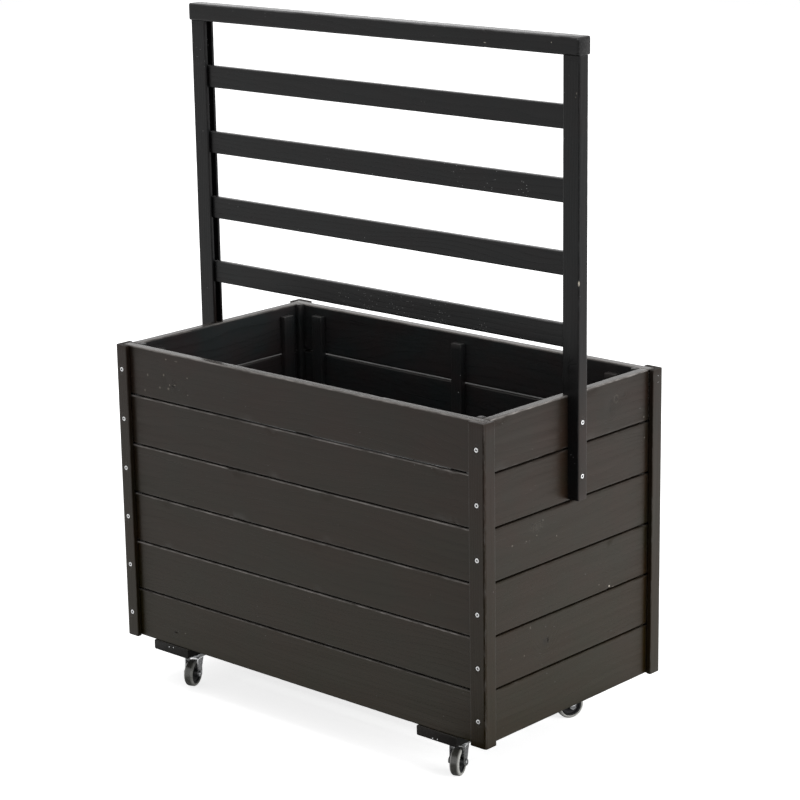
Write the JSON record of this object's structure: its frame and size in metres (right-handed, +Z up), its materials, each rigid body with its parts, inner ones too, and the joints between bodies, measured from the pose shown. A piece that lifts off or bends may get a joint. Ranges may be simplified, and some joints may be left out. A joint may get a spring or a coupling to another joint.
{
  "type": "rolling planter",
  "caption": "Dark stained wooden planter box on swivel casters, with a slatted trellis frame above its end walls.",
  "frame": {"origin": "on the ground, below the middle of the planter", "axes": "+X along the box to its right end, +Y to the rear wall, +Z up"},
  "size_m": [0.722, 0.383, 0.994],
  "materials": {
    "box_wood": "dark stain, open grain, matte to satin",
    "trellis_wood": "near-black stain, satin",
    "zinc": "bright zinc plate",
    "hub": "moulded black plastic",
    "tyre": "light grey moulded tyre"
  },
  "bodies": {
    "planter": {"front_board_1": "box_wood", "front_board_2": "box_wood", "front_board_3": "box_wood", "front_board_4": "box_wood", "front_board_5": "box_wood", "front_board_6": "box_wood", "rear_board_1": "box_wood", "rear_board_2": "box_wood", "rear_board_3": "box_wood", "rear_board_4": "box_wood", "rear_board_5": "box_wood", "rear_board_6": "box_wood", "left_board_1": "box_wood", "left_board_2": "box_wood", "left_board_3": "box_wood", "left_board_4": "box_wood", "left_board_5": "box_wood", "left_board_6": "box_wood", "right_board_1": "box_wood", "right_board_2": "box_wood", "right_board_3": "box_wood", "right_board_4": "box_wood", "right_board_5": "box_wood", "right_board_6": "box_wood", "corner_post_front_right": "box_wood", "corner_post_front_left": "box_wood", "corner_post_rear_right": "box_wood", "corner_post_rear_left": "box_wood", "inside_battens": "box_wood", "floor_boards": "box_wood", "caster_batten_left": "box_wood", "caster_batten_right": "box_wood", "trellis_post_left": "trellis_wood", "trellis_post_right": "trellis_wood", "top_rail": "trellis_wood", "trellis_slat_1": "trellis_wood", "trellis_slat_2": "trellis_wood", "trellis_slat_3": "trellis_wood", "trellis_slat_4": "trellis_wood", "caster_plate_front_right": "zinc", "caster_plate_front_left": "zinc", "caster_plate_rear_right": "zinc", "caster_plate_rear_left": "zinc", "screws": "zinc"},
    "fork_front_right": {"caster_fork_front_right": "zinc", "caster_axle_front_right": "zinc"},
    "wheel_front_right": {"caster_hub_front_right": "hub", "caster_tyre_front_right": "tyre"},
    "fork_front_left": {"caster_fork_front_left": "zinc", "caster_axle_front_left": "zinc"},
    "wheel_front_left": {"caster_hub_front_left": "hub", "caster_tyre_front_left": "tyre"},
    "fork_rear_right": {"caster_fork_rear_right": "zinc", "caster_axle_rear_right": "zinc"},
    "wheel_rear_right": {"caster_hub_rear_right": "hub", "caster_tyre_rear_right": "tyre"},
    "fork_rear_left": {"caster_fork_rear_left": "zinc", "caster_axle_rear_left": "zinc"},
    "wheel_rear_left": {"caster_hub_rear_left": "hub", "caster_tyre_rear_left": "tyre"}
  },
  "joints": [
    {"name": "swivel_front_right", "type": "hinge", "parent": "planter", "child": "fork_front_right", "pos_m": [0.25575, -0.13, 0.045], "axis": [0, 0, 1], "continuous": true},
    {"name": "roll_front_right", "type": "hinge", "parent": "fork_front_right", "child": "wheel_front_right", "pos_m": [0.26249, -0.14669, 0.02], "axis": [0.9272, 0.3746, 0], "continuous": true},
    {"name": "swivel_front_left", "type": "hinge", "parent": "planter", "child": "fork_front_left", "pos_m": [-0.2655, -0.13, 0.045], "axis": [0, 0, 1], "continuous": true},
    {"name": "roll_front_left", "type": "hinge", "parent": "fork_front_left", "child": "wheel_front_left", "pos_m": [-0.25905, -0.1468, 0.02], "axis": [0.9336, 0.3584, 0], "continuous": true},
    {"name": "swivel_rear_right", "type": "hinge", "parent": "planter", "child": "fork_rear_right", "pos_m": [0.25575, 0.13, 0.045], "axis": [0, 0, 1], "continuous": true},
    {"name": "roll_rear_right", "type": "hinge", "parent": "fork_rear_right", "child": "wheel_rear_right", "pos_m": [0.24814, 0.11369, 0.02], "axis": [0.9063, -0.4226, 0], "continuous": true},
    {"name": "swivel_rear_left", "type": "hinge", "parent": "planter", "child": "fork_rear_left", "pos_m": [-0.2655, 0.13, 0.045], "axis": [0, 0, 1], "continuous": true},
    {"name": "roll_rear_left", "type": "hinge", "parent": "fork_rear_left", "child": "wheel_rear_left", "pos_m": [-0.26176, 0.11239, 0.02], "axis": [0.9781, 0.2079, 0], "continuous": true}
  ]
}
